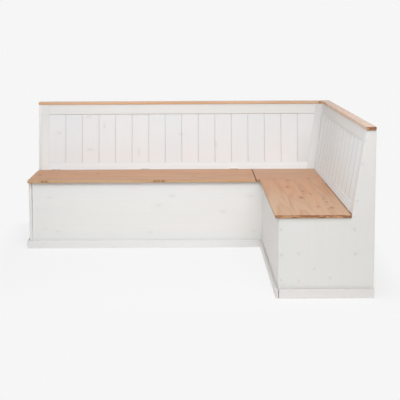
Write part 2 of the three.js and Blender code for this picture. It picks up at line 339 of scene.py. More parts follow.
class Sockets:
    """Adds nodes to one tree and links them as it goes."""

    def __init__(self, tree):
        self.tree = tree

    def feed(self, socket, value):
        if isinstance(value, bpy.types.NodeSocket):
            self.tree.links.new(value, socket)
        else:
            socket.default_value = value

    def node(self, kind, inputs=None, **settings):
        made = self.tree.nodes.new(kind)
        for name, value in settings.items():
            setattr(made, name, value)
        for key, value in (inputs or {}).items():
            self.feed(made.inputs[key], value)
        return made

    def math(self, operation, *values):
        return self.node("ShaderNodeMath", dict(enumerate(values)), operation=operation).outputs[0]

    def times(self, first, second):
        return self.math("MULTIPLY", first, second)

    def plus(self, first, second):
        return self.math("ADD", first, second)

    def minus(self, first, second):
        return self.math("SUBTRACT", first, second)

    def vector(self, operation, *values):
        made = self.node("ShaderNodeVectorMath", dict(enumerate(values)), operation=operation)
        return made.outputs["Value" if operation == "LENGTH" else "Vector"]

    def parts(self, vector):
        return self.node("ShaderNodeSeparateXYZ", {0: vector}).outputs

    def combine(self, x, y, z):
        return self.node("ShaderNodeCombineXYZ", {0: x, 1: y, 2: z}).outputs[0]

    def ramp(self, value, low, high, to_low=0.0, to_high=1.0):
        inputs = {0: value, 1: low, 2: high, 3: to_low, 4: to_high}
        return self.node("ShaderNodeMapRange", inputs, interpolation_type="SMOOTHSTEP").outputs[0]

    def noise(self, place, scales, detail=2.0):
        """Noise with its own scale along each axis."""
        inputs = {"Vector": self.vector("MULTIPLY", place, scales), "Scale": 1.0, "Detail": detail}
        return self.node("ShaderNodeTexNoise", inputs).outputs

    def mix(self, share, first, second):
        return self.node("ShaderNodeMix", {0: share, 6: first, 7: second}, data_type="RGBA").outputs[2]

    def bump(self, height, distance, strength):
        inputs = {"Height": height, "Distance": distance, "Strength": strength}
        return self.node("ShaderNodeBump", inputs).outputs[0]

    def place(self):
        return self.node("ShaderNodeTexCoord").outputs["Object"]

    def attribute(self, name):
        return self.node("ShaderNodeAttribute", attribute_name=name).outputs

    def stored(self, geometry, name, value, kind="FLOAT_VECTOR", domain="POINT"):
        """The geometry with a named attribute written on it."""
        inputs = {"Geometry": geometry, "Name": name, "Value": value}
        made = self.node("GeometryNodeStoreNamedAttribute", inputs, data_type=kind, domain=domain)
        return made.outputs[0]

    def named(self, name):
        made = self.node("GeometryNodeInputNamedAttribute", {"Name": name}, data_type="FLOAT_VECTOR")
        return made.outputs[0]

    def moved(self, geometry, offset):
        return self.node("GeometryNodeTransform", {"Geometry": geometry, "Translation": offset}).outputs[0]

    def repeated(self, points, instance, **inputs):
        """A real copy of the instance on every point."""
        inputs = {"Points": points, "Instance": instance, **inputs}
        placed = self.node("GeometryNodeInstanceOnPoints", inputs)
        return self.node("GeometryNodeRealizeInstances", {0: placed.outputs[0]}).outputs[0]

    def finish(self, geometry, material):
        """Ends a Geometry Nodes tree with its material."""
        painted = self.node("GeometryNodeSetMaterial", {"Geometry": geometry, "Material": material})
        self.node("NodeGroupOutput", {0: painted.outputs[0]})


def tinted(colour, factors):
    return [part * factor for part, factor in zip(colour, factors)]


def rgba(colour):
    return (*(min(1.0, part) for part in colour), 1.0)


def cleared(owner):
    """Sockets on the emptied node tree of a material or world."""
    owner.use_nodes = True
    owner.node_tree.nodes.clear()
    return Sockets(owner.node_tree)


def new_material(name):
    """A material, the Sockets of its tree and its Principled shader."""
    material = bpy.data.materials.new(name)
    n = cleared(material)
    shader = n.node("ShaderNodeBsdfPrincipled")
    n.node("ShaderNodeOutputMaterial", {"Surface": shader.outputs[0]})
    return material, n, shader


def knot_distance(n, groups):
    """Distance to the nearest listed knot, in knot radii. Each group has its knots and their stretch."""
    place = n.place()
    nearest = None
    for knots, stretch in groups:
        for x, y, z, radius in knots:
            away = n.vector("SUBTRACT", place, (x, y, z))
            away = n.vector("DIVIDE", away, [radius * MILLIMETRE * share for share in stretch])
            away = n.vector("LENGTH", away)
            nearest = away if nearest is None else n.math("MINIMUM", nearest, away)
    return nearest


def stray_knot_distance(n, timber, share):
    """Distance to a knot scattered in the timber, in knot radii, far off where there is none."""
    cells = n.vector("DIVIDE", timber, STRAY_SPACING)
    found = n.node("ShaderNodeTexVoronoi", {"Vector": cells, "Scale": 1.0})
    away = n.vector("SUBTRACT", cells, found.outputs["Position"])
    away = n.vector("MULTIPLY", away, (STRAY_SPACING[0], STRAY_SPACING[1] * STRAY_STRETCH, 0.0))
    lot = n.parts(found.outputs["Color"])
    away = n.math("DIVIDE", n.vector("LENGTH", away), n.ramp(lot[1], 0.0, 1.0, *STRAY_RADII))
    return n.plus(away, n.ramp(lot[0], share, share + 0.01, 0.0, NO_KNOT))


def timber_field(n, knots, stray_share):
    """Values of solid timber, by name, read from a board's attributes.

    The second mark is 0 on a broad side, 0.5 on an edge along the grain and 1 on end grain.
    """
    timber = n.attribute("timber")["Vector"]
    marks = n.parts(n.attribute("marks")["Vector"])
    away = stray_knot_distance(n, timber, stray_share)
    if knots:
        away = n.math("MINIMUM", away, knot_distance(n, knots))
    wander = n.vector("SUBTRACT", n.noise(timber, WANDER_GRAIN)["Color"], (0.5, 0.5, 0.5))
    bent = n.vector("ADD", timber, n.vector("MULTIPLY", wander, RING_WANDER))
    radius = n.vector("LENGTH", n.vector("MULTIPLY", bent, (0.0, 1.0, 1.0)))
    radius = n.plus(radius, n.times(n.ramp(away, 0.6, 4.5, 1.0, 0.0), KNOT_SWELL))
    phase = n.math("FRACT", n.math("DIVIDE", radius, bpy.context.scene.bench_timber.ring_spacing))
    return {
        "late": n.times(n.ramp(phase, 0.3, 0.88), n.ramp(phase, 0.9, 1.0, 1.0, 0.0)),
        "fibre": n.noise(timber, FIBRE_GRAIN)["Fac"],
        "band": n.noise(timber, BAND_GRAIN)["Fac"],
        "streak": n.noise(timber, STREAK_GRAIN)["Fac"],
        "knot": n.ramp(away, 0.55, 1.15, 1.0, 0.0),
        "halo": n.ramp(away, 1.0, 2.6, 1.0, 0.0),
        "tone": marks[0],
        "end": n.ramp(marks[1], 0.5, 1.0),
        "edge": n.ramp(n.math("ABSOLUTE", n.minus(marks[1], 0.5)), 0.0, 0.5, 1.0, 0.0),
        "wear": marks[2],
        # painted shade: darkening that stands in for shadow under overhangs and in gaps, grooves and corners
        "grime": n.attribute("grime")["Fac"],
    }


def layered(n, field, colour, layers):
    """Lays colours over one another. A layer's second value is its share, or a ramp from value to share."""
    for value, share, over in layers:
        amount = n.ramp(field[value], *share) if isinstance(share, tuple) else n.times(field[value], share)
        colour = n.mix(amount, colour, over if isinstance(over, bpy.types.NodeSocket) else rgba(over))
    return colour


def surface_wood(n, shader, field, colour, rough, gloss, grain_depth):
    """Gives the shader its colour, its two limits of roughness, its gloss, and bump from rings and fibres."""
    n.feed(shader.inputs["Base Color"], colour)
    n.feed(shader.inputs["Roughness"], n.ramp(field["fibre"], 0.2, 0.8, *rough))
    shader.inputs["Specular IOR Level"].default_value = gloss
    height = n.math("MULTIPLY_ADD", field["fibre"], 0.5, n.times(field["late"], 0.5))
    n.feed(shader.inputs["Normal"], n.bump(height, grain_depth, 0.6))


def glazed_pine(name, knots, stray_share, tint_and_painted_light, knot_share=0.17):
    """White glaze through which rings, staves and knots show faintly."""
    material, n, shader = new_material(name)
    field = timber_field(n, knots, stray_share)
    # The tint also paints light and shade: lighter, bluer or darker copies of the glaze for the back boards,
    # stiles and rails
    glaze = tinted(bpy.context.scene.bench_timber.glaze, tint_and_painted_light)
    cool = rgba(tinted(glaze, (0.985, 0.992, 0.99)))
    warm = rgba(tinted(glaze, (1.012, 1.0, 0.985)))
    lean = n.plus(n.times(field["tone"], 0.7), n.times(field["band"], 0.6))
    layers = (
        ("late", 0.04, (0.64, 0.60, 0.54)),
        ("fibre", (0.35, 0.75, 0.0, 0.035), (0.61, 0.57, 0.51)),
        ("halo", knot_share * 0.4, (0.60, 0.58, 0.55)),
        ("knot", knot_share, (0.38, 0.36, 0.33)),
        ("end", 0.16, (0.60, 0.56, 0.50)),
        ("wear", 0.05, (0.70, 0.62, 0.50)),
        # painted shade: the glaze darkened where shadow falls
        ("grime", 0.62, (0.42, 0.41, 0.39)),
    )
    colour = layered(n, field, n.mix(n.ramp(lean, 0.25, 1.05), cool, warm), layers)
    surface_wood(n, shader, field, colour, rough=(0.46, 0.6), gloss=0.35, grain_depth=0.15 * MILLIMETRE)
    return material


def lacquered_pine(name, knots, rough, tint_and_painted_light):
    """Clear lacquer on warm pine, straw coloured towards the near end, with dark end grain and knots."""
    timber = bpy.context.scene.bench_timber
    material, n, shader = new_material(name)
    field = timber_field(n, knots, 0.05)
    place = n.place()
    # On the cap the tint paints a sheen: a lighter, bluer copy of the seat's lacquer
    pine = tinted(timber.pine, tint_and_painted_light)
    ring = tinted(timber.pine_ring, tint_and_painted_light)
    pink = rgba(tinted(pine, (1.0, 0.97, 0.95)))
    straw = rgba(tinted(pine, (0.91, 1.1, 1.28)))
    lean = n.plus(n.times(field["tone"], 0.3), field["band"])
    lean = n.plus(lean, n.ramp(n.parts(place)[1], -0.65, 0.1, 0.45, 0.0))
    colour = n.mix(n.ramp(lean, 0.5, 1.05), pink, straw)
    late = n.times(field["late"], n.ramp(field["band"], 0.25, 0.75, 0.2, 0.55))
    blotch = n.ramp(n.noise(place, (38.0, 38.0, 140.0))["Fac"], 0.42, 0.6)
    end = n.mix(blotch, rgba((0.6, 0.34, 0.17)), rgba((0.28, 0.105, 0.04)))
    layers = (
        ("streak", (0.45, 0.7, 0.0, 0.45), ring),
        ("fibre", (0.4, 0.8, 0.0, 0.16), tinted(ring, (0.85,) * 3)),
        ("halo", 0.5, ring),
        ("knot", 0.78, (0.17, 0.075, 0.035)),
        ("end", 1.0, layered(n, field, end, [("late", 0.4, (0.24, 0.10, 0.045))])),
    )
    colour = layered(n, field, n.mix(late, colour, rgba(ring)), layers)
    edge_lift = n.vector("MULTIPLY_ADD", n.combine(*(field["edge"],) * 3), (0.1, 0.2, 0.17), (1.0, 1.0, 1.0))
    layers = (
        ("wear", 0.25, tinted(timber.pine_ring, (1.1,) * 3)),
        # painted shade: the lacquered pine darkened where shadow falls
        ("grime", 0.7, (0.13, 0.07, 0.035)),
    )
    colour = layered(n, field, n.vector("MULTIPLY", colour, edge_lift), layers)
    limits = (rough, rough + 0.13)
    surface_wood(n, shader, field, colour, rough=limits, gloss=0.45, grain_depth=0.2 * MILLIMETRE)
    return material


def planed_pine(name):
    """Planed pine without a finish."""
    bare = bpy.context.scene.bench_timber.bare
    material, n, shader = new_material(name)
    field = timber_field(n, (), 0.45)
    light = rgba(tinted(bare, (1.05,) * 3))
    deep = rgba(tinted(bare, (0.9, 0.82, 0.72)))
    lean = n.math("MULTIPLY_ADD", field["tone"], 0.6, n.times(field["band"], 1.2))
    layers = (
        ("streak", (0.45, 0.75, 0.0, 0.3), (0.6, 0.4, 0.22)),
        ("late", 0.4, (0.58, 0.38, 0.2)),
        ("fibre", (0.4, 0.8, 0.0, 0.2), (0.5, 0.36, 0.2)),
        ("halo", 0.3, (0.55, 0.34, 0.17)),
        ("knot", 0.75, (0.25, 0.12, 0.05)),
        ("end", 0.4, (0.48, 0.33, 0.18)),
    )
    colour = layered(n, field, n.mix(n.ramp(lean, 0.45, 1.35), light, deep), layers)
    surface_wood(n, shader, field, colour, rough=(0.62, 0.78), gloss=0.3, grain_depth=0.25 * MILLIMETRE)
    return material


def plated_steel(name):
    """Dull plated steel with faint rubbing marks."""
    steel = bpy.context.scene.bench_timber.steel
    material, n, shader = new_material(name)
    place = n.place()
    cloud = n.noise(place, (180.0, 180.0, 180.0), 4.0)["Fac"]
    rub = n.noise(place, (900.0, 900.0, 4000.0))["Fac"]
    dark, light = (rgba(tinted(steel, (factor,) * 3)) for factor in (0.8, 1.15))
    n.feed(shader.inputs["Base Color"], n.mix(n.ramp(cloud, 0.3, 0.7), dark, light))
    rough = n.plus(n.ramp(cloud, 0.3, 0.7, 0.4, 0.5), n.ramp(rub, 0.4, 0.8, 0.0, 0.1))
    n.feed(shader.inputs["Roughness"], rough)
    shader.inputs["Metallic"].default_value = 1.0
    n.feed(shader.inputs["Normal"], n.bump(rub, 0.02 * MILLIMETRE, 0.5))
    return material


SEAT_KNOTS = [(LONG_SEAT_KNOTS, ROUND), (SEAT_EDGE_KNOTS, LONG_X), (SHORT_SEAT_KNOTS, ALONG_Y)]
LONG_BACK_KNOTS = [(BACK_KNOTS, ALONG_X), (BACK_FLAMES, ALONG_Z)]

# For each finish its maker and what that takes, such as knots, share of stray knots and tint. On the back
# boards, stiles and rails the tint is painted light and shade, and on the cap a painted sheen.
FINISHES = {
    "glazed_pine": (glazed_pine, (), 0.06, (0.985, 0.975, 0.995)),
    "glazed_side_panel": (glazed_pine, (), 0.06, (0.98, 0.96, 0.98)),
    "glazed_near_panel": (glazed_pine, [(NEAR_PANEL_KNOTS, ROUND)], 0.0, (1.0, 1.0, 1.005)),
    "glazed_long_panel": (glazed_pine, [(LONG_PANEL_KNOTS, ALONG_X)], 0.0, (1.0, 1.0, 1.015), 0.1),
    # Painted light and shade: lighter and bluer back boards, bottom rail and stiles, and a darker top rail
    # and near stile
    "glazed_long_back": (glazed_pine, LONG_BACK_KNOTS, 0.0, (1.055, 1.085, 1.15), 0.13),
    "glazed_short_back": (glazed_pine, (), 0.04, (1.07, 1.12, 1.18)),
    "glazed_near_stile": (glazed_pine, (), 0.0, (0.99, 1.0, 1.02)),
    "glazed_left_stile": (glazed_pine, (), 0.0, (1.075, 1.105, 1.135)),
    "glazed_corner_stile": (glazed_pine, (), 0.0, (1.0, 1.03, 1.07)),
    "glazed_top_rail": (glazed_pine, (), 0.02, (0.915, 0.925, 0.95)),
    "glazed_bottom_rail": (glazed_pine, (), 0.02, (1.075, 1.135, 1.22)),
    "lacquered_seat": (lacquered_pine, SEAT_KNOTS, 0.42, (1.0, 1.0, 1.0)),
    # Painted sheen: a lighter, bluer copy of the seat's lacquer
    "lacquered_cap": (lacquered_pine, [(CAP_KNOTS, ROUND)], 0.2, (1.2, 1.27, 1.45)),
    "planed_pine": (planed_pine,),
    "plated_steel": (plated_steel,),
}


def finish_named(name):
    """The finish of that name, made the first time it is asked for. No slot of the record has its name."""
    maker, *settings = FINISHES[name]
    return bpy.data.materials.get(name) or maker(name, *settings)


def body_of_node(node):
    return next(body for body, nodes in frame["record"]["behaviour"]["bodies"].items() if node in nodes)


def link(name, data):
    piece = bpy.data.objects.new(name, data)
    bpy.context.scene.collection.objects.link(piece)
    return piece


def mesh_from(bm, name):
    mesh = bpy.data.meshes.new(name)
    bm.to_mesh(mesh)
    bm.free()
    return mesh


def bmesh_from(mesh):
    bm = bmesh.new()
    bm.from_mesh(mesh)
    return bm


def finished(piece, node):
    """Hands a finished piece to the frame in place of its CAD node."""
    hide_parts(node)
    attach(piece, body_of_node(node))


def merged_copy(node):
    """The CAD node's shape as a bmesh of whole flat faces."""
    bm = bmesh_from(frame["nodes"][node].data)
    bmesh.ops.remove_doubles(bm, verts=bm.verts, dist=MERGE_DISTANCE)
    bmesh.ops.dissolve_limit(bm, angle_limit=FLAT_ANGLE, verts=bm.verts, edges=bm.edges)
    return bm


def is_outer_edge(edge):
    return edge.is_convex and edge.calc_face_angle(0) > SHARP_ANGLE


def round_edges(bm, radius):
    bmesh.ops.bevel(
        bm,
        geom=[edge for edge in bm.edges if is_outer_edge(edge)],
        offset=radius,
        offset_type="OFFSET",
        segments=3,
        profile=0.5,
        affect="EDGES",
        clamp_overlap=True,
    )


def work_in(piece, modifier):
    """Keeps the modifier's result as the piece's own mesh."""
    bpy.context.view_layer.update()
    depsgraph = bpy.context.evaluated_depsgraph_get()
    mesh = bpy.data.meshes.new_from_object(piece.evaluated_get(depsgraph), depsgraph=depsgraph)
    piece.modifiers.remove(modifier)
    piece.data = mesh


def round_in_two_radii(bm, wide, fine, directions):
    """A wide radius round the sides that face the directions, and a fine one on all other edges."""
    weights = bm.edges.layers.float.new("bevel_weight_edge")
    for edge in bm.edges:
        if not is_outer_edge(edge):
            continue
        sides = [face.normal for face in edge.link_faces if abs(face.normal.z) < ROUNDED_SIDE]
        facing = [any(side.dot(way) > ROUNDED_SIDE for way in directions) for side in sides]
        edge[weights] = 1.0 if sides and all(facing) else fine / wide
    piece = link("rounded", mesh_from(bm, "rounded"))
    modifier = piece.modifiers.new("Rounded Edges", "BEVEL")
    modifier.limit_method = "WEIGHT"
    modifier.width = wide
    modifier.segments = 4
    work_in(piece, modifier)
    bm = bmesh_from(piece.data)
    bpy.data.objects.remove(piece)
    return bm


def axis_vector(axis, length=1):
    vector = Vector((0, 0, 0))
    vector[axis] = length
    return vector


def leg_point(leg, along, across, z):
    """A point by its places along and across a leg."""
    point = Vector((0, 0, z))
    axes = leg_axes(leg)
    point[axes[0]] = along
    point[axes[1]] = across
    return point


def on_side(axis, sign, amount=1.0):
    """Painted shade on the faces that look one way."""
    return lambda normal, place, middle: amount if normal[axis] * sign > PAINTED_SHADE_SIDE else 0.0


def towards(axis, clean, dark, amount):
    """Painted shade that grows from one place to another along an axis."""
    return lambda normal, place, middle: amount * min(1.0, max(0.0, (place[axis] - clean) / (dark - clean)))


def within(rule, axis, low, high):
    """The rule on those faces whose middle lies between two places along an axis."""
    return lambda normal, place, middle: rule(normal, place, middle) if low < middle[axis] < high else 0.0


def stave_edges(low, high, width):
    """The lines between equal staves, near the asked width."""
    count = max(1, round((high - low) / width))
    return [low + (high - low) * i / count for i in range(count + 1)]


def cut_line(bm, axis, place):
    everything = [*bm.verts, *bm.edges, *bm.faces]
    normal = axis_vector(axis)
    point = normal * place
    bmesh.ops.bisect_plane(bm, geom=everything, dist=MERGE_DISTANCE, plane_co=point, plane_no=normal)


def stave_draws(seed, count):
    """For each stave, how it was cut from its log, and its tone."""
    draw = random.Random(seed)
    return [
        (*(draw.uniform(low, high) for low, high in zip(LOG_LOW, LOG_HIGH)), draw.random())
        for _ in range(count)
    ]


def side_mark(normal, along, across):
    """1 on end grain, 0.5 on an edge along the grain and 0 on a broad side."""
    if abs(normal[along]) > MARKED_SIDE:
        return 1.0
    return 0.5 if abs(normal[across]) > MARKED_SIDE else 0.0


def mark_timber(mesh, along, across, lines, seed, rules):
    """Writes where each face corner lies in its stave's log, its tone, side and wear, and its painted shade.
    """
    through = 3 - along - across
    draws = stave_draws(seed, len(lines) - 1)
    places = []
    marks = []
    grime = []
    for face in mesh.polygons:
        stave = sum(face.center[across] > line for line in lines[1:-1])
        shift, pith_across, pith_through, tone = draws[stave]
        middle = (lines[stave] + lines[stave + 1]) / 2
        side = side_mark(face.normal, along, across)
        wear = 1.0 if max(abs(part) for part in face.normal) < WORN_EDGE else 0.0
        for index in face.vertices:
            co = mesh.vertices[index].co
            places += (co[along] + shift, co[across] - middle + pith_across, co[through] % 1 + pith_through)
            marks += (tone, side, wear)
            grime.append(max((rule(face.normal, co, face.center) for rule in rules), default=0.0))
    for name, values in (("timber", places), ("marks", marks)):
        attribute = mesh.attributes.new(name, "FLOAT_VECTOR", "CORNER")
        attribute.data.foreach_set("vector", values)
    mesh.attributes.new("grime", "FLOAT", "CORNER").data.foreach_set("value", grime)


def dress_board(node, along, across, width, radius, finish, grime=(), cuts=(), wide=(), reshape=None):
    """A board of staves in the place of a CAD node, with rounded edges.

    Cuts are (axis, place) rows where the painted shade needs corners. The sides that the wide directions
    face get the seat's wider radius. Reshape moves the corners of the sharp shape first.
    """
    bm = merged_copy(node)
    low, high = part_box(node)
    lines = stave_edges(low[across], high[across], width)
    seams = [(across, line) for line in lines[1:-1]]
    if reshape:
        for axis, place in seams:
            cut_line(bm, axis, place)
        reshape(bm)
    if wide:
        bm = round_in_two_radii(bm, bpy.context.scene.bench_edges.seat, radius, wide)
    else:
        round_edges(bm, radius)
    for axis, place in (*seams, *cuts):
        cut_line(bm, axis, place)
    mesh = mesh_from(bm, node + "_wood")
    mark_timber(mesh, along, across, lines, node, grime)
    mesh.materials.append(finish_named(finish))
    finished(link(node + "_wood", mesh), node)


def shifted_end(axis, end, shift_at):
    """A reshape that moves the corners at one end of a board along an axis."""
    def reshape(bm):
        for vert in bm.verts:
            if abs(vert.co[axis] - end) < MILLIMETRE:
                vert.co[axis] += shift_at(vert.co)
    return reshape


def between(rows, value):
    """The value between the rows of (place, result), level past their ends."""
    if value <= rows[0][0]:
        return rows[0][1]
    for (low, first), (high, second) in zip(rows, rows[1:]):
        if value <= high:
            return first + (second - first) * (value - low) / (high - low)
    return rows[-1][1]


def leg_axes(name):
    """Along and across a leg's seat: the long leg runs along X, the short leg along Y."""
    return (X, Y) if name.startswith("long") else (Y, X)


class BENCH_OT_chest_panels(bpy.types.Operator):
    """Dress the glazed panels of the two chests"""

    bl_idname = "bench.chest_panels"
    bl_label = "Chest Panels"

    def execute(self, context):
        width = context.scene.bench_timber.panel_stave
        radius = context.scene.bench_edges.panel
        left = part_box("long_front_panel")[0].x
        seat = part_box("long_front_panel")[1].z
        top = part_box("near_end_panel")[1].z
        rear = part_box("short_lid_board")[1].x
        open_joint = shifted_end(X, left, lambda place: between(LEFT_JOINT_OPENING, place.z))
        # Painted shadow under the seat's overhang and under the end of the cap rail
        under_seat = towards(Z, seat - SEAT_SHADOW, seat, UNDER_SEAT)
        under_lid = within(under_seat, X, 0.0, rear)
        under_cap = towards(Z, top - CAP_SHADOW, top, UNDER_CAP)
        seat_cut = [(Z, seat - SEAT_SHADOW)]
        near_cuts = [*seat_cut, (Z, seat), (X, rear), (Z, top - CAP_SHADOW)]
        for node, along, across, finish, grime, cuts, reshape in (
            ("left_end_panel", Z, Y, "glazed_pine", (), (), None),
            ("near_end_panel", Z, X, "glazed_near_panel", [under_lid, under_cap], near_cuts, None),
            ("long_front_panel", X, Z, "glazed_long_panel", [under_seat], seat_cut, open_joint),
            ("short_side_panel", Y, Z, "glazed_side_panel", [under_seat], seat_cut, None),
        ):
            dress_board(node, along, across, width, radius, finish, grime, cuts, reshape=reshape)
        return {"FINISHED"}


class BENCH_OT_plinths(bpy.types.Operator):
    """Dress the plinth boards round the foot of the chests"""

    bl_idname = "bench.plinths"
    bl_label = "Plinths"

    def execute(self, context):
        radius = context.scene.bench_edges.panel
        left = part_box("near_end_plinth")[0].x
        open_joint = shifted_end(X, left, lambda place: PLINTH_JOINT_OPENING)
        # Painted shade on the plinth tops, and on one side face of the short and the near end plinth
        top = on_side(Z, 1)
        for node, along, grime, reshape in (
            ("long_plinth", X, [on_side(Z, 1, PLINTH_TOP)], None),
            ("short_plinth", Y, [top, on_side(X, 1)], None),
            ("left_end_plinth", Y, [top], None),
            ("near_end_plinth", X, [top, on_side(X, -1)], open_joint),
        ):
            dress_board(node, along, Z, WHOLE, radius, "glazed_pine", grime, reshape=reshape)
        return {"FINISHED"}


class BENCH_OT_seats(bpy.types.Operator):
    """Dress the two lids, the corner board and the rails behind them"""

    bl_idname = "bench.seats"
    bl_label = "Seats"

    def execute(self, context):
        width = context.scene.bench_timber.seat_stave
        radius = context.scene.bench_edges.seam
        front = [axis_vector(X, -1), axis_vector(Y, -1)]
        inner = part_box("short_lid_board")[0].x
        # Painted shade on the faces in the gaps between lids, corner board and rear rails, and on the corner
        # board's front in the inner corner
        in_corner = within(on_side(Y, -1, CORNER_SEAM), X, 0.0, inner)
        corner_painted_shade = [on_side(X, -1), on_side(Y, -1, FAINT_SEAM), in_corner]
        for node, along, across, grime, cuts, wide in (
            ("long_lid_board", X, Y, [on_side(Y, 1), on_side(X, 1)], (), front),
            ("corner_seat_board", X, Y, corner_painted_shade, [(X, inner)], ()),
            ("short_lid_board", Y, X, [on_side(X, 1), on_side(Y, 1, FAINT_SEAM)], (), front),
            ("long_seat_rear_rail", X, Y, [on_side(Y, -1)], (), ()),
            ("short_seat_rear_rail", Y, X, [on_side(X, -1)], (), ()),
        ):
            dress_board(node, along, across, width, radius, "lacquered_seat", grime, cuts, wide)
        return {"FINISHED"}


class BENCH_OT_cap_rails(bpy.types.Operator):
    """Dress the cap rails on top of the backrests"""

    bl_idname = "bench.cap_rails"
    bl_label = "Cap Rails"

    def execute(self, context):
        radius = context.scene.bench_edges.seam
        sides = [axis_vector(axis, sign) for axis in (X, Y) for sign in (1, -1)]
        for node in ("long_cap_rail", "short_cap_rail"):
            along, across = leg_axes(node)
            dress_board(node, along, across, WHOLE, radius, "lacquered_cap", wide=sides)
        return {"FINISHED"}


class BENCH_OT_inner_boards(bpy.types.Operator):
    """Dress the boards inside and behind the bench"""

    bl_idname = "bench.inner_boards"
    bl_label = "Inner Boards"

    def execute(self, context):
        radius = context.scene.bench_edges.inner
        width = context.scene.bench_timber.panel_stave
        for leg in ("long", "short"):
            along, across = leg_axes(leg)
            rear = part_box(leg + "_rear_panel")[1][across]
            set_back = shifted_end(across, rear, lambda place: -REAR_SETBACK)
            rows = [
                ("_rear_panel", along, Z, width),
                ("_chest_partition", Z, across, width),
                ("_chest_floor", along, across, width),
                ("_floor_cleat_rear", along, across, WHOLE),
                ("_floor_cleat_front", along, across, WHOLE),
                ("_rear_bearer", along, across, WHOLE),
                ("_lid_batten_1", across, along, WHOLE),
                ("_lid_batten_2", across, along, WHOLE),
                ("_back_brace_1", Z, across, WHOLE),
            ]
            if leg == "long":
                rows += [("_lid_batten_3", across, along, WHOLE), ("_back_brace_2", Z, across, WHOLE)]
            for part, grain, side, stave in rows:
                reshape = set_back if part == "_rear_panel" else None
                dress_board(leg + part, grain, side, stave, radius, "planed_pine", reshape=reshape)
        return {"FINISHED"}


class BENCH_OT_back_frames(bpy.types.Operator):
    """Dress the rails and stiles of the backrests"""

    bl_idname = "bench.back_frames"
    bl_label = "Back Frames"

    def execute(self, context):
        radius = context.scene.bench_edges.frame
        for leg, end in (("long", "left"), ("short", "near")):
            along = leg_axes(leg)[0]
            amount = FRAME_PAINTED_SHADE[leg]
            node = leg + "_back_"
            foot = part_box(node + "bottom_rail")[1].z
            head, top = (corner.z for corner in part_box(node + "top_rail"))
            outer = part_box(node + end + "_stile")[0][along]
            corner_low, corner_high = (corner[along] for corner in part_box(node + "corner_stile"))
            # Painted shade under the cap and the top rail, on the stiles beside the field and the outer
            # joint, darker towards the corner and towards the top
            shadow = towards(Z, top - CAP_SHADOW, top, UNDER_CAP)
            underside = on_side(Z, -1, amount["underside"])
            step = within(on_side(along, 1), Z, foot, head)
            joint = towards(along, outer + JOINT_SHADOW, outer, amount["joint"])
            fade = towards(Z, foot, top, amount["fade"])
            corner_step = within(on_side(along, -1, amount["corner_step"]), Z, foot, head)
            dim = towards(along, corner_low, corner_high, CORNER_DIM)
            corner_fade = towards(Z, foot, top, amount["corner_fade"])
            cap_cut = (Z, top - CAP_SHADOW)
            step_cuts = [(Z, foot), (Z, head), cap_cut]
            end_cuts = [*step_cuts, (along, outer + JOINT_SHADOW)]
            for part, grain, side, grime, cuts in (
                ("top_rail", along, Z, [underside, shadow], [cap_cut]),
                ("bottom_rail", along, Z, [on_side(Z, 1)], ()),
                (end + "_stile", Z, along, [step, joint, fade, shadow], end_cuts),
                ("corner_stile", Z, along, [corner_step, dim, corner_fade, shadow], step_cuts),
            ):
                dress_board(node + part, grain, side, WHOLE, radius, "glazed_" + part, grime, cuts)
        return {"FINISHED"}


def new_tree(name, inputs):
    """A Geometry Nodes tree with geometry in and out, and the named inputs."""
    tree = bpy.data.node_groups.new(name, "GeometryNodeTree")
    tree.interface.new_socket("Geometry", in_out="INPUT", socket_type="NodeSocketGeometry")
    tree.interface.new_socket("Geometry", in_out="OUTPUT", socket_type="NodeSocketGeometry")
    for label, kind in inputs.items():
        tree.interface.new_socket(label, in_out="INPUT", socket_type="NodeSocket" + kind)
    n = Sockets(tree)
    return tree, n, n.node("NodeGroupInput").outputs


def run_tree(piece, tree, values):
    """Runs a tree on a piece and keeps the result as a plain mesh."""
    modifier = piece.modifiers.new(tree.name, "NODES")
    modifier.node_group = tree
    for item in tree.interface.items_tree:
        if item.item_type == "SOCKET" and item.in_out == "INPUT" and item.name in values:
            modifier[item.identifier] = values[item.name]
    work_in(piece, modifier)


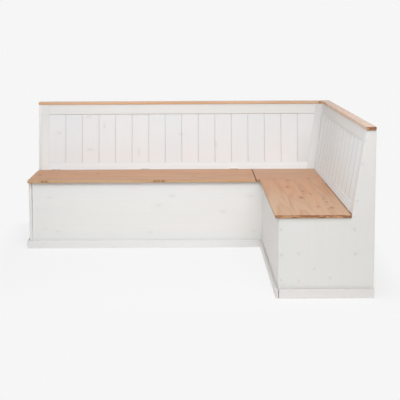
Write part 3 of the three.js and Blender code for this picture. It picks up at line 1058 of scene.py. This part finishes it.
def board_row_tree():
    """Repeats one board along X, tones each, paints shade on the faces that don't face the front, towards the
    top and on the last board, trims the last to the leaning stile and leans the row.
    """
    inputs = {
        "Board Count": "Int",
        "Board Cover": "Float",
        "Last Stretch": "Float",
        "Lean": "Float",
        "Trim At Foot": "Float",
        "Half Vee": "Float",
        "Housing": "Float",
        "Rise": "Float",
        "Top Grime": "Float",
        "Last Grime": "Float",
        "Groove Grime": "Float",
        "Finish": "Material",
    }
    tree, n, group = new_tree("Board Row", inputs)
    count = group["Board Count"]
    cover = group["Board Cover"]
    line = n.node("GeometryNodeMeshLine", {"Count": count, "Offset": n.combine(cover, 0.0, 0.0)})
    index = n.node("GeometryNodeInputIndex").outputs[0]
    last = n.math("GREATER_THAN", index, n.minus(count, 1.5))
    stretch = n.math("MULTIPLY_ADD", last, n.minus(group["Last Stretch"], 1.0), 1.0)
    log_draws = {0: LOG_LOW, 1: LOG_HIGH, "ID": index, "Seed": 5}
    log = n.node("FunctionNodeRandomValue", log_draws, data_type="FLOAT_VECTOR").outputs[0]
    shift = n.vector("SUBTRACT", log, n.combine(0.0, n.times(n.plus(index, 0.5), cover), 0.0))
    tone_draws = {2: 0.0, 3: 1.0, "ID": index, "Seed": 11}
    tone = n.node("FunctionNodeRandomValue", tone_draws, data_type="FLOAT").outputs[1]
    points = n.stored(line.outputs[0], "shift", shift)
    points = n.stored(points, "marks", n.combine(tone, 0.0, 0.0))
    row = n.repeated(points, group["Geometry"], Scale=n.combine(stretch, 1.0, 1.0))
    x, y, z = n.parts(n.node("GeometryNodeInputPosition").outputs[0])
    normal = n.parts(n.node("GeometryNodeInputNormal").outputs[0])
    # Painted shade: on the faces that don't face the front, darker towards the top of the row, and on the
    # last board by the corner
    edgewise = n.math("LESS_THAN", n.math("ABSOLUTE", normal[1]), GROOVE_SIDE)
    in_groove = n.times(edgewise, group["Groove Grime"])
    at_top = n.times(n.math("DIVIDE", z, group["Rise"]), group["Top Grime"])
    in_last = n.math("GREATER_THAN", x, n.times(cover, n.minus(count, 1.0)))
    grime = n.math("MAXIMUM", at_top, n.times(in_last, group["Last Grime"]))
    row = n.stored(row, "grime", n.math("MAXIMUM", in_groove, grime), "FLOAT", "CORNER")
    row = n.stored(row, "timber", n.vector("ADD", n.combine(z, x, y), n.named("shift")))
    setback = n.times(z, group["Lean"])
    limit = n.plus(group["Trim At Foot"], setback)
    starting = n.math("LESS_THAN", x, n.times(group["Half Vee"], 1.01))
    housed = n.minus(x, n.times(starting, n.plus(x, group["Housing"])))
    leaned = n.combine(n.math("MINIMUM", housed, limit), n.plus(y, setback), z)
    row = n.node("GeometryNodeSetPosition", {"Geometry": row, "Position": leaned})
    n.finish(row.outputs[0], group["Finish"])
    return tree


def prism(name, outline, vector):
    """A closed prism from an outline of 3D points."""
    bm = bmesh.new()
    face = bm.faces.new([bm.verts.new(point) for point in outline])
    made = bmesh.ops.extrude_face_region(bm, geom=[face])
    moved = [item for item in made["geom"] if isinstance(item, bmesh.types.BMVert)]
    bmesh.ops.translate(bm, verts=moved, vec=vector)
    bmesh.ops.recalc_face_normals(bm, faces=bm.faces)
    return link(name, mesh_from(bm, name))


def one_board(name, boards, rise):
    """A tongue-and-groove board: X across, Y behind its face, Z up."""
    play = boards.joint_gap / 2
    far = boards.cover - play
    half_vee = boards.vee_width / 2
    third = boards.thickness / 3
    outline = [
        (half_vee, 0),
        (boards.cover - half_vee, 0),
        (far, boards.vee_depth),
        (far, third + play),
        (far + boards.tongue, third + play),
        (far + boards.tongue, 2 * third),
        (far, 2 * third),
        (far, boards.thickness),
        (play, boards.thickness),
        (play, 2 * third + play),
        (play + boards.tongue, 2 * third + play),
        (play + boards.tongue, third),
        (play, third),
        (play, boards.vee_depth),
    ]
    return prism(name, [(x, y, 0) for x, y in outline], Vector((0, 0, rise)))


def drop_flat_faces(mesh):
    """Drops the faces that trimming flattened."""
    bm = bmesh_from(mesh)
    bmesh.ops.dissolve_degenerate(bm, dist=MERGE_DISTANCE, edges=bm.edges)
    bm.to_mesh(mesh)
    bm.free()


class BENCH_OT_back_boards(bpy.types.Operator):
    """Fill both backrests with tongue-and-groove boards"""

    bl_idname = "bench.back_boards"
    bl_label = "Back Boards"

    def execute(self, context):
        boards = context.scene.bench_boards
        tree = board_row_tree()
        for leg in ("long", "short"):
            node = leg + "_back_boards"
            along, across = leg_axes(leg)
            low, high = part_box(node)
            rise = high.z - low.z
            lean = (high[across] - low[across] - boards.thickness) / rise
            start = low[along] + boards.housing
            reach = high[along] - start
            count = round((reach - boards.housing) / boards.cover)
            last = reach + boards.housing - (count - 1) * boards.cover
            piece = one_board(node + "_row", boards, rise)
            values = {
                "Board Count": count,
                "Board Cover": boards.cover,
                "Last Stretch": last / boards.cover,
                "Lean": lean,
                "Trim At Foot": reach - lean * rise,
                "Half Vee": boards.vee_width / 2,
                "Housing": boards.housing,
                "Rise": rise,
                "Finish": finish_named("glazed_" + leg + "_back"),
                **BOARD_PAINTED_SHADE[leg],
            }
            run_tree(piece, tree, values)
            if leg == "short":
                piece.data.transform(SWAP_X_AND_Y)
                piece.data.flip_normals()
            piece.data.transform(Matrix.Translation(leg_point(leg, start, low[across], low.z)))
            drop_flat_faces(piece.data)
            finished(piece, node)
        return {"FINISHED"}


def screw_head_tree():
    """Sets a cross-slotted head on every point, facing along the point's own direction."""
    inputs = {"Head Radius": "Float", "Stand": "Float", "Body": "Float", "Finish": "Material"}
    tree, n, group = new_tree("Screw Heads", inputs)
    radius = group["Head Radius"]
    height = n.plus(group["Stand"], group["Body"])
    head = n.node("GeometryNodeMeshCylinder", {"Vertices": 20, "Radius": radius, "Depth": height})
    long_side = n.times(radius, 1.15)
    short_side = n.times(radius, 0.24)
    deep = n.times(radius, 0.7)
    cut = n.node("GeometryNodeMeshBoolean", operation="DIFFERENCE", solver="EXACT")
    n.feed(cut.inputs["Mesh 1"], head.outputs["Mesh"])
    for sides in ((long_side, short_side), (short_side, long_side)):
        bar = n.node("GeometryNodeMeshCube", {"Size": n.combine(*sides, deep)})
        raised = n.moved(bar.outputs[0], n.combine(0.0, 0.0, n.times(height, 0.5)))
        n.feed(cut.inputs["Mesh 2"], raised)
    sunk = n.times(n.minus(group["Stand"], group["Body"]), 0.5)
    seated = n.moved(cut.outputs[0], n.combine(0.0, 0.0, sunk))
    turned = n.node("FunctionNodeAlignRotationToVector", {"Vector": n.named("facing")}, axis="Z")
    spin_draws = {0: (0.0, 0.0, 0.0), 1: (0.0, 0.0, math.pi), "Seed": 3}
    spin = n.node("FunctionNodeRandomValue", spin_draws, data_type="FLOAT_VECTOR")
    both = {0: turned.outputs[0], 1: spin.outputs[0]}
    spun = n.node("FunctionNodeRotateRotation", both, rotation_space="LOCAL")
    heads = n.repeated(group["Geometry"], seated, Rotation=spun.outputs[0])
    n.finish(heads, group["Finish"])
    return tree


def screws(name, tree, places, radius, body):
    """Screw heads at (point, facing) places, as one piece on a body."""
    mesh = bpy.data.meshes.new(name)
    mesh.from_pydata([point for point, _ in places], [], [])
    facing = mesh.attributes.new("facing", "FLOAT_VECTOR", "POINT")
    facing.data.foreach_set("vector", [part for _, direction in places for part in direction])
    values = {
        "Head Radius": radius,
        "Stand": bpy.context.scene.bench_fixings.screw_stand,
        "Body": radius / 4,
        "Finish": finish_named("plated_steel"),
    }
    piece = link(name, mesh)
    run_tree(piece, tree, values)
    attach(piece, body)


def spaced(low, high, inset, pitch):
    """Places between two insets, no further apart than the pitch."""
    first = low + inset
    last = high - inset
    count = max(1, math.ceil((last - first) / pitch))
    return [first + (last - first) * i / count for i in range(count + 1)]


def batten_screws(leg):
    """Two rows of screws under each batten of a lid."""
    along, across = leg_axes(leg)
    places = []
    for node in sorted(n for n in frame["nodes"] if n.startswith(leg + "_lid_batten")):
        low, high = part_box(node)
        for offset in spaced(low[across], high[across], SCREW_INSET, BATTEN_PITCH):
            for share in BATTEN_ROWS:
                side = low[along] + (high[along] - low[along]) * share
                places.append((leg_point(leg, side, offset, low.z), axis_vector(Z, -1)))
    return places


def rear_panel_screws(leg):
    """Screws along the top and foot of a rear panel."""
    low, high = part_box(leg + "_rear_panel")
    along, across = leg_axes(leg)
    face = high[across] - REAR_SETBACK
    return [
        (leg_point(leg, place, face, z), axis_vector(across))
        for place in spaced(low[along], high[along], SCREW_INSET, PANEL_PITCH)
        for z in (low.z + SCREW_INSET, high.z - SCREW_TOP_INSET)
    ]


def hinge_names(leg):
    pins = [node for node in frame["nodes"] if node.startswith(leg + "_hinge") and node.endswith("_pin")]
    return sorted(pin.removesuffix("_pin") for pin in pins)


def hinge_matrix(hinge):
    """From hinge coordinates, X along the pin and Y towards the lid, to the bench's own frame."""
    low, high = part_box(hinge + "_pin")
    turn = math.pi if hinge.startswith("long") else math.pi / 2
    return Matrix.Translation((low + high) / 2) @ Matrix.Rotation(turn, 4, "Z")


def hinge_sizes():
    """Half width, plate foot and knuckle radius, measured on the CAD hinge."""
    low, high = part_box("long_hinge_1_fixed_leaf")
    pin_low, pin_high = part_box("long_hinge_1_pin")
    axis = (pin_low.z + pin_high.z) / 2
    return (high.x - low.x) / 2, low.z - axis, high.z - axis


def circle(x, radius, steps):
    """Points of a circle round the X axis."""
    turns = [2 * math.pi * i / steps for i in range(steps)]
    return [(x, radius * math.cos(turn), radius * math.sin(turn)) for turn in turns]


def leaf_profile(fixings, side, foot, radius):
    """Outline of plate and knuckle, seen along the pin."""
    near = fixings.leaf_face
    far = near + fixings.leaf_thickness
    start = -math.acos(far / radius)
    stop = -math.acos(near / radius) + 2 * math.pi
    arc = [start + (stop - start) * i / KNUCKLE_STEPS for i in range(KNUCKLE_STEPS + 1)]
    curve = [(radius * math.cos(turn), radius * math.sin(turn)) for turn in arc]
    return [(side * y, z) for y, z in [(near, foot), (far, foot), *curve]]


def boolean(piece, operation, tool):
    """Joins or cuts with a tool object, which is used up."""
    modifier = piece.modifiers.new("Cut", "BOOLEAN")
    modifier.operation = operation
    modifier.solver = "EXACT"
    modifier.object = tool
    work_in(piece, modifier)
    bpy.data.objects.remove(tool)


def countersink(fixings, x, z, side):
    """A cone that opens towards the leaf's inner face."""
    bm = bmesh.new()
    depth = fixings.leaf_thickness * 2
    wide = fixings.leaf_screw_radius * 1.25
    narrow = fixings.leaf_screw_radius * 0.35
    bmesh.ops.create_cone(bm, cap_ends=True, segments=24, radius1=wide, radius2=narrow, depth=depth)
    bmesh.ops.rotate(bm, matrix=Matrix.Rotation(-side * math.pi / 2, 3, "X"), verts=bm.verts)
    bmesh.ops.translate(bm, vec=(x, side * (fixings.leaf_face + depth * 0.4), z), verts=bm.verts)
    return link("countersink", mesh_from(bm, "countersink"))


def screw_spots(half, foot):
    """Places of a leaf's screws along the pin and down the plate."""
    return [(half * LEAF_SCREW_SPREAD * side, foot * LEAF_SCREW_DROP) for side in (-1, 0, 1)]


def hinge_leaf(name, fixings, side):
    """A leaf in hinge coordinates: plate, knuckles on every other span, bore and countersinks."""
    half, foot, radius = hinge_sizes()
    step = (2 * half + fixings.knuckle_gap) / fixings.knuckles
    clear = -radius - fixings.knuckle_gap
    corner = fixings.leaf_corner
    plate = [
        (-half, clear),
        (-half, foot + corner),
        (-half + corner, foot),
        (half - corner, foot),
        (half, foot + corner),
        (half, clear),
    ]
    near = side * fixings.leaf_face
    through = Vector((0, side * (fixings.leaf_face + fixings.leaf_thickness) - near, 0))
    piece = prism(name, [(x, near, z) for x, z in plate], through)
    profile = leaf_profile(fixings, side, clear - fixings.leaf_thickness, radius)
    for i in range(fixings.knuckles):
        if (i % 2 == 1) == (side > 0):
            outline = [(-half + i * step, y, z) for y, z in profile]
            boolean(piece, "UNION", prism("knuckle", outline, Vector((step - fixings.knuckle_gap, 0, 0))))
    bore = circle(-half * 1.5, fixings.pin_radius + fixings.knuckle_gap, BORE_STEPS)
    boolean(piece, "DIFFERENCE", prism("bore", bore, Vector((half * 3, 0, 0))))
    for x, z in screw_spots(half, foot):
        boolean(piece, "DIFFERENCE", countersink(fixings, x, z, side))
    return piece


def hinge_pin(name, fixings):
    """A pin with a low domed head at each end, in hinge coordinates."""
    low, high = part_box("long_hinge_1_pin")
    end = (high.x - low.x) / 2
    head = (high.z - low.z) / 2
    half = hinge_sizes()[0] + fixings.knuckle_gap
    profile = [
        (-end, head * 0.55),
        (-end + (end - half) * 0.35, head * 0.88),
        (-half - (end - half) * 0.2, head),
        (-half, head),
        (-half, fixings.pin_radius),
    ]
    profile += [(-x, radius) for x, radius in reversed(profile)]
    bm = bmesh.new()
    rings = [[bm.verts.new(point) for point in circle(x, radius, PIN_STEPS)] for x, radius in profile]
    for first, second in zip(rings, rings[1:]):
        for i in range(PIN_STEPS):
            j = (i + 1) % PIN_STEPS
            bm.faces.new((first[i], first[j], second[j], second[i]))
    bm.faces.new(rings[0])
    bm.faces.new(rings[-1])
    bmesh.ops.recalc_face_normals(bm, faces=bm.faces)
    return link(name, mesh_from(bm, name))


def metal_piece(name, source, matrix, node):
    """A copy of a hinge part at one hinge, in plated steel."""
    mesh = source.data.copy()
    mesh.transform(matrix)
    mesh.materials.clear()
    mesh.materials.append(finish_named("plated_steel"))
    mesh.shade_smooth()
    mesh.set_sharp_from_angle(angle=SMOOTH_ANGLE)
    finished(link(name, mesh), node)


class BENCH_OT_hinges(bpy.types.Operator):
    """Make the hinges of both lids, with their screws"""

    bl_idname = "bench.hinges"
    bl_label = "Hinges"

    def execute(self, context):
        fixings = context.scene.bench_fixings
        half, foot, _ = hinge_sizes()
        sources = {
            "fixed_leaf": hinge_leaf("fixed_leaf_source", fixings, -1),
            "lid_leaf": hinge_leaf("lid_leaf_source", fixings, 1),
            "pin": hinge_pin("pin_source", fixings),
        }
        tree = screw_head_tree()
        size = fixings.leaf_screw_radius
        for leg in ("long", "short"):
            fixed = []
            moving = []
            for hinge in hinge_names(leg):
                matrix = hinge_matrix(hinge)
                for part, source in sources.items():
                    node = hinge + "_" + part
                    metal_piece(node + "_steel", source, matrix, node)
                turn = matrix.to_3x3()
                for x, z in screw_spots(half, foot):
                    for places, side in ((fixed, -1), (moving, 1)):
                        point = matrix @ Vector((x, side * fixings.leaf_face, z))
                        places.append((point, turn @ axis_vector(Y, -side)))
            screws(leg + "_fixed_leaf_screws", tree, fixed, size, "carcass")
            screws(leg + "_lid_leaf_screws", tree, moving, size, leg + "_lid")
        for source in sources.values():
            bpy.data.objects.remove(source)
        return {"FINISHED"}


class BENCH_OT_wood_screws(bpy.types.Operator):
    """Set the screw heads in battens and rear panels"""

    bl_idname = "bench.wood_screws"
    bl_label = "Wood Screws"

    def execute(self, context):
        size = context.scene.bench_fixings.screw_radius
        tree = bpy.data.node_groups["Screw Heads"]
        for leg in ("long", "short"):
            screws(leg + "_batten_screws", tree, batten_screws(leg), size, leg + "_lid")
            screws(leg + "_rear_panel_screws", tree, rear_panel_screws(leg), size, "carcass")
        return {"FINISHED"}


def seen_ray(n):
    """1 for rays from the camera, reflected or passed on, 0 for all other light."""
    path = n.node("ShaderNodeLightPath").outputs
    seen = n.math("MAXIMUM", path["Is Camera Ray"], path["Is Glossy Ray"])
    return n.math("MAXIMUM", seen, path["Is Transmission Ray"])


def studio_floor(white):
    """White for the camera and in reflections, matt for all other light, with the bench's shadow."""
    material = bpy.data.materials.new("studio_floor")
    n = cleared(material)
    place = n.parts(n.place())
    beside = n.minus(n.math("ABSOLUTE", place[0]), CAD_HIGH.x)
    before = n.minus(n.math("ABSOLUTE", place[1]), CAD_HIGH.y)
    shaded = n.ramp(n.math("MAXIMUM", beside, before), 0.0, SHADE_REACH, SHADE, 0.0)
    glow = n.node("ShaderNodeEmission", {"Color": white, "Strength": 1.0})
    matt = n.node("ShaderNodeBsdfDiffuse", {"Color": white})
    share = n.times(seen_ray(n), n.minus(1.0, shaded))
    mixed = n.node("ShaderNodeMixShader", {0: share, 1: matt.outputs[0], 2: glow.outputs[0]})
    n.node("ShaderNodeOutputMaterial", {"Surface": mixed.outputs[0]})
    return material


def studio_world(white, strength):
    """The same white for the camera and in reflections, and an even light from all round."""
    world = bpy.context.scene.world or bpy.data.worlds.new("studio")
    bpy.context.scene.world = world
    n = cleared(world)
    sky = n.node("ShaderNodeBackground", {"Color": (1.0, 1.0, 1.0, 1.0), "Strength": strength})
    plain = n.node("ShaderNodeBackground", {"Color": white, "Strength": 1.0})
    mixed = n.node("ShaderNodeMixShader", {0: seen_ray(n), 1: sky.outputs[0], 2: plain.outputs[0]})
    n.node("ShaderNodeOutputWorld", {"Surface": mixed.outputs[0]})


def area_lamp(name, place, target, size, power):
    lamp = bpy.data.lights.new(name, "AREA")
    lamp.shape = "SQUARE"
    lamp.size = size
    lamp.energy = power
    piece = link(name, lamp)
    piece.location = place
    piece.rotation_mode = "QUATERNION"
    piece.rotation_quaternion = (target - Vector(place)).to_track_quat("-Z", "Y")
    piece.visible_camera = False
    return piece


def studio_camera(studio):
    """A camera by place, yaw, pitch and roll, with the lens shift that the framing needs."""
    yaw, pitch, roll = studio.yaw, studio.pitch, studio.roll
    forward = Vector((math.sin(yaw) * math.cos(pitch), math.cos(yaw) * math.cos(pitch), -math.sin(pitch)))
    right = Vector((math.cos(yaw), -math.sin(yaw), 0))
    up = right.cross(forward)
    rolled_right = math.cos(roll) * right + math.sin(roll) * up
    rolled_up = -math.sin(roll) * right + math.cos(roll) * up
    data = bpy.data.cameras.new("camera")
    data.sensor_width = 36.0
    data.sensor_fit = "HORIZONTAL"
    data.lens = studio.focal_pixels / studio.picture_pixels * data.sensor_width
    data.shift_y = -studio.lift_pixels / studio.picture_pixels
    camera = link("camera", data)
    turn = Matrix([*zip(rolled_right, rolled_up, -forward, (0, 0, 0)), (0, 0, 0, 1)])
    camera.matrix_world = Matrix.Translation(studio.camera_place) @ turn
    bpy.context.scene.camera = camera


class BENCH_OT_stage(bpy.types.Operator):
    """Set the floor, the light and the camera"""

    bl_idname = "bench.stage"
    bl_label = "Stage"

    def execute(self, context):
        studio = context.scene.bench_studio
        white = (studio.background,) * 3 + (1.0,)
        level = CAD_LOW.z - FLOOR_DROP
        signs = ((-1, -1), (1, -1), (1, 1), (-1, 1))
        corners = [(x * FLOOR_REACH, y * FLOOR_REACH, level) for x, y in signs]
        mesh = bpy.data.meshes.new("floor")
        mesh.from_pydata(corners, [], [(0, 1, 2, 3)])
        mesh.materials.append(studio_floor(white))
        link("floor", mesh)
        studio_world(white, studio.sky)
        middle = (CAD_LOW + CAD_HIGH) / 2
        for name in ("front", "seat", "high", "rear"):
            place = getattr(studio, name + "_place")
            power = getattr(studio, name + "_lamp")
            lamp = area_lamp(name + "_lamp", place, middle, studio.lamp_size, power)
            lamp.visible_glossy = name != "rear"
        studio_camera(studio)
        context.scene.view_settings.view_transform = "Standard"
        return {"FINISHED"}


PROPERTY_GROUPS = {
    "bench_timber": BenchTimber,
    "bench_edges": BenchEdges,
    "bench_boards": BenchBoards,
    "bench_fixings": BenchFixings,
    "bench_studio": BenchStudio,
}
OPERATORS = (
    BENCH_OT_stage,
    BENCH_OT_chest_panels,
    BENCH_OT_plinths,
    BENCH_OT_seats,
    BENCH_OT_cap_rails,
    BENCH_OT_inner_boards,
    BENCH_OT_back_frames,
    BENCH_OT_back_boards,
    BENCH_OT_hinges,
    BENCH_OT_wood_screws,
)


class BENCH_PT_sidebar(bpy.types.Panel):
    """Settings and steps of the bench"""

    bl_idname = "BENCH_PT_sidebar"
    bl_label = "Corner Storage Bench"
    bl_space_type = "VIEW_3D"
    bl_region_type = "UI"
    bl_category = "Bench"

    def draw(self, context):
        for name, group in PROPERTY_GROUPS.items():
            box = self.layout.box()
            for setting in group.__annotations__:
                box.prop(getattr(context.scene, name), setting)
        for operator in OPERATORS:
            self.layout.operator(operator.bl_idname)


def register():
    for group in (*PROPERTY_GROUPS.values(), *OPERATORS, BENCH_PT_sidebar):
        bpy.utils.register_class(group)
    for name, group in PROPERTY_GROUPS.items():
        setattr(bpy.types.Scene, name, PointerProperty(type=group))


def unregister():
    for name in PROPERTY_GROUPS:
        delattr(bpy.types.Scene, name)
    for group in (BENCH_PT_sidebar, *reversed(OPERATORS), *PROPERTY_GROUPS.values()):
        bpy.utils.unregister_class(group)


def main():
    register()
    for operator in OPERATORS:
        family, name = operator.bl_idname.split(".")
        getattr(getattr(bpy.ops, family), name)()


if __name__ == "__main__":
    main()
